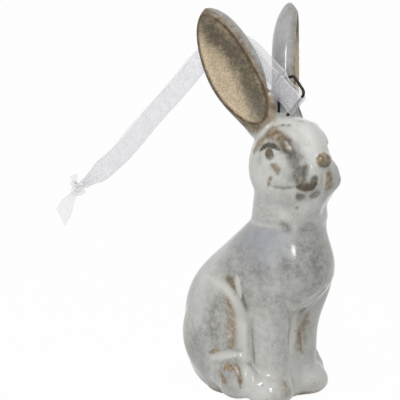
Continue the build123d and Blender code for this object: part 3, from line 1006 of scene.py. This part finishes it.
def make_tail(name, node, length, width, angle, curl, cloth):
    """A cut end: narrow where it leaves the knot, opening out and curling a little."""
    heading = Vector((0, math.cos(angle), math.sin(angle)))
    side = Vector((1, 0, 0)).cross(heading)
    rows = []
    for step in range(TAIL_STEPS + 1):
        share = step / TAIL_STEPS
        opening = TAIL_NECK + TAIL_OPENING * float(fade(share, 0.05, 0.75))
        row = []
        for column in range(TAIL_STEPS_ACROSS + 1):
            across = column / TAIL_STEPS_ACROSS - 0.5
            reach = TAIL_START + (length - TAIL_START) * share * (1 - TAIL_SLANT * (across + 0.5))
            pleat = TAIL_PLEAT * (1 - share) * math.sin(across * 4 * math.pi)
            bend = curl * share * share + pleat + TAIL_TWIST * across * share
            middle = Vector((KNOT_X + bend, *KNOT_PLACE))
            row.append(middle + heading * reach + side * (width * opening * across))
        rows.append(row)
    piece = cloth_strip(name, rows, cloth)
    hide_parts(node)
    return piece


def make_ribbon():
    cloth = organza_material()
    fold = make_fold(cloth)
    knot = make_knot(cloth)
    long_tail = make_tail("organza_long_tail", "ribbon_long_tail", *LONG_TAIL, cloth)
    short_tail = make_tail("organza_short_tail", "ribbon_short_tail", *SHORT_TAIL, cloth)
    near_points = strand_points(NEAR_X, 0, NEAR_FAN)
    far_points = strand_points(FAR_X, FAN_AT_FOLD, FAN_AT_TURN)
    strands = (
        ("organza_near_strand", "ribbon_near_strand", near_points, NEAR_RIPPLE, [fold, knot, long_tail]),
        ("organza_far_strand", "ribbon_far_strand", far_points, FAR_RIPPLE, [short_tail]),
    )
    for name, node, points, ripple, others in strands:
        piece, line, length = make_strand(name, node, points, ripple, cloth)


def make_eyelet():
    eyelet = frame["nodes"]["hanging_eyelet"]
    eyelet.data.materials.clear()
    eyelet.data.materials.append(wire_material())


# Stage: white paper, lit softly
WORLD_LIGHT = 0.43
FLOOR_SIZE = 6
PAPER_TONE = (0.8, 0.8, 0.8, 1)
PAPER_GLOW = 0.975
LAMP_AIM = (0, 0, 0.05)

# Lamps: place to the right, forward and up, width, height, power, and whether the glaze mirrors them
LAMPS = (
    ("key", -0.02, 0.5, 0.5, 0.1, 0.34, 2.2, True),
    ("fill", -0.5, 0.35, 0.25, 0.4, 0.4, 1.0, False),
)


def make_stage():
    world = bpy.data.worlds.new("studio")
    bpy.context.scene.world = world
    world.use_nodes = True
    nodes = world.node_tree.nodes
    links = world.node_tree.links
    background = nodes["Background"]
    background.inputs["Color"].default_value = (1, 1, 1, 1)
    strength = nodes.new("ShaderNodeMapRange")
    strength.inputs["To Min"].default_value = WORLD_LIGHT
    links.new(seen_rays(nodes, links), strength.inputs["Value"])
    links.new(strength.outputs["Result"], background.inputs["Strength"])

    bpy.ops.mesh.primitive_plane_add(size=FLOOR_SIZE)
    floor = bpy.context.object
    floor.name = "paper_floor"
    paper = bpy.data.materials.new("paper")
    paper.use_nodes = True
    nodes = paper.node_tree.nodes
    links = paper.node_tree.links
    nodes["Principled BSDF"].inputs["Base Color"].default_value = PAPER_TONE
    nodes["Principled BSDF"].inputs["Roughness"].default_value = 0.9
    glow = nodes.new("ShaderNodeEmission")
    share = nodes.new("ShaderNodeMapRange")
    share.inputs["To Max"].default_value = PAPER_GLOW
    mix = nodes.new("ShaderNodeMixShader")
    links.new(seen_rays(nodes, links), share.inputs["Value"])
    links.new(share.outputs["Result"], mix.inputs["Fac"])
    links.new(nodes["Principled BSDF"].outputs["BSDF"], mix.inputs[1])
    links.new(glow.outputs["Emission"], mix.inputs[2])
    links.new(mix.outputs["Shader"], nodes["Material Output"].inputs["Surface"])
    floor.data.materials.append(paper)

    for name, side, forward, height, width, tall, power, mirrored in LAMPS:
        lamp = bpy.data.lights.new(name, "AREA")
        lamp.shape = "RECTANGLE"
        lamp.size = width
        lamp.size_y = tall
        lamp.energy = power
        place = link(bpy.data.objects.new(name, lamp))
        place.visible_glossy = mirrored
        flat_back = Vector((camera_back.x, camera_back.y, 0)).normalized()
        place.location = camera_right * side + flat_back * forward + Vector((0, 0, height))
        aim = Vector(LAMP_AIM) - place.location
        place.rotation_mode = "QUATERNION"
        place.rotation_quaternion = aim.to_track_quat("-Z", "Y")


def seen_rays(nodes, links):
    """One for rays that look at the background: straight, in a mirror or through cloth."""
    rays = nodes.new("ShaderNodeLightPath")
    mirrored = nodes.new("ShaderNodeMath")
    mirrored.operation = "MAXIMUM"
    links.new(rays.outputs["Is Glossy Ray"], mirrored.inputs[0])
    links.new(rays.outputs["Is Transmission Ray"], mirrored.inputs[1])
    seen = nodes.new("ShaderNodeMath")
    seen.operation = "MAXIMUM"
    links.new(rays.outputs["Is Camera Ray"], seen.inputs[0])
    links.new(mirrored.outputs[0], seen.inputs[1])
    return seen.outputs[0]


make_camera()
make_ribbon()
make_eyelet()
make_ceramic()
make_stage()
bpy.context.scene.view_settings.view_transform = "Standard"
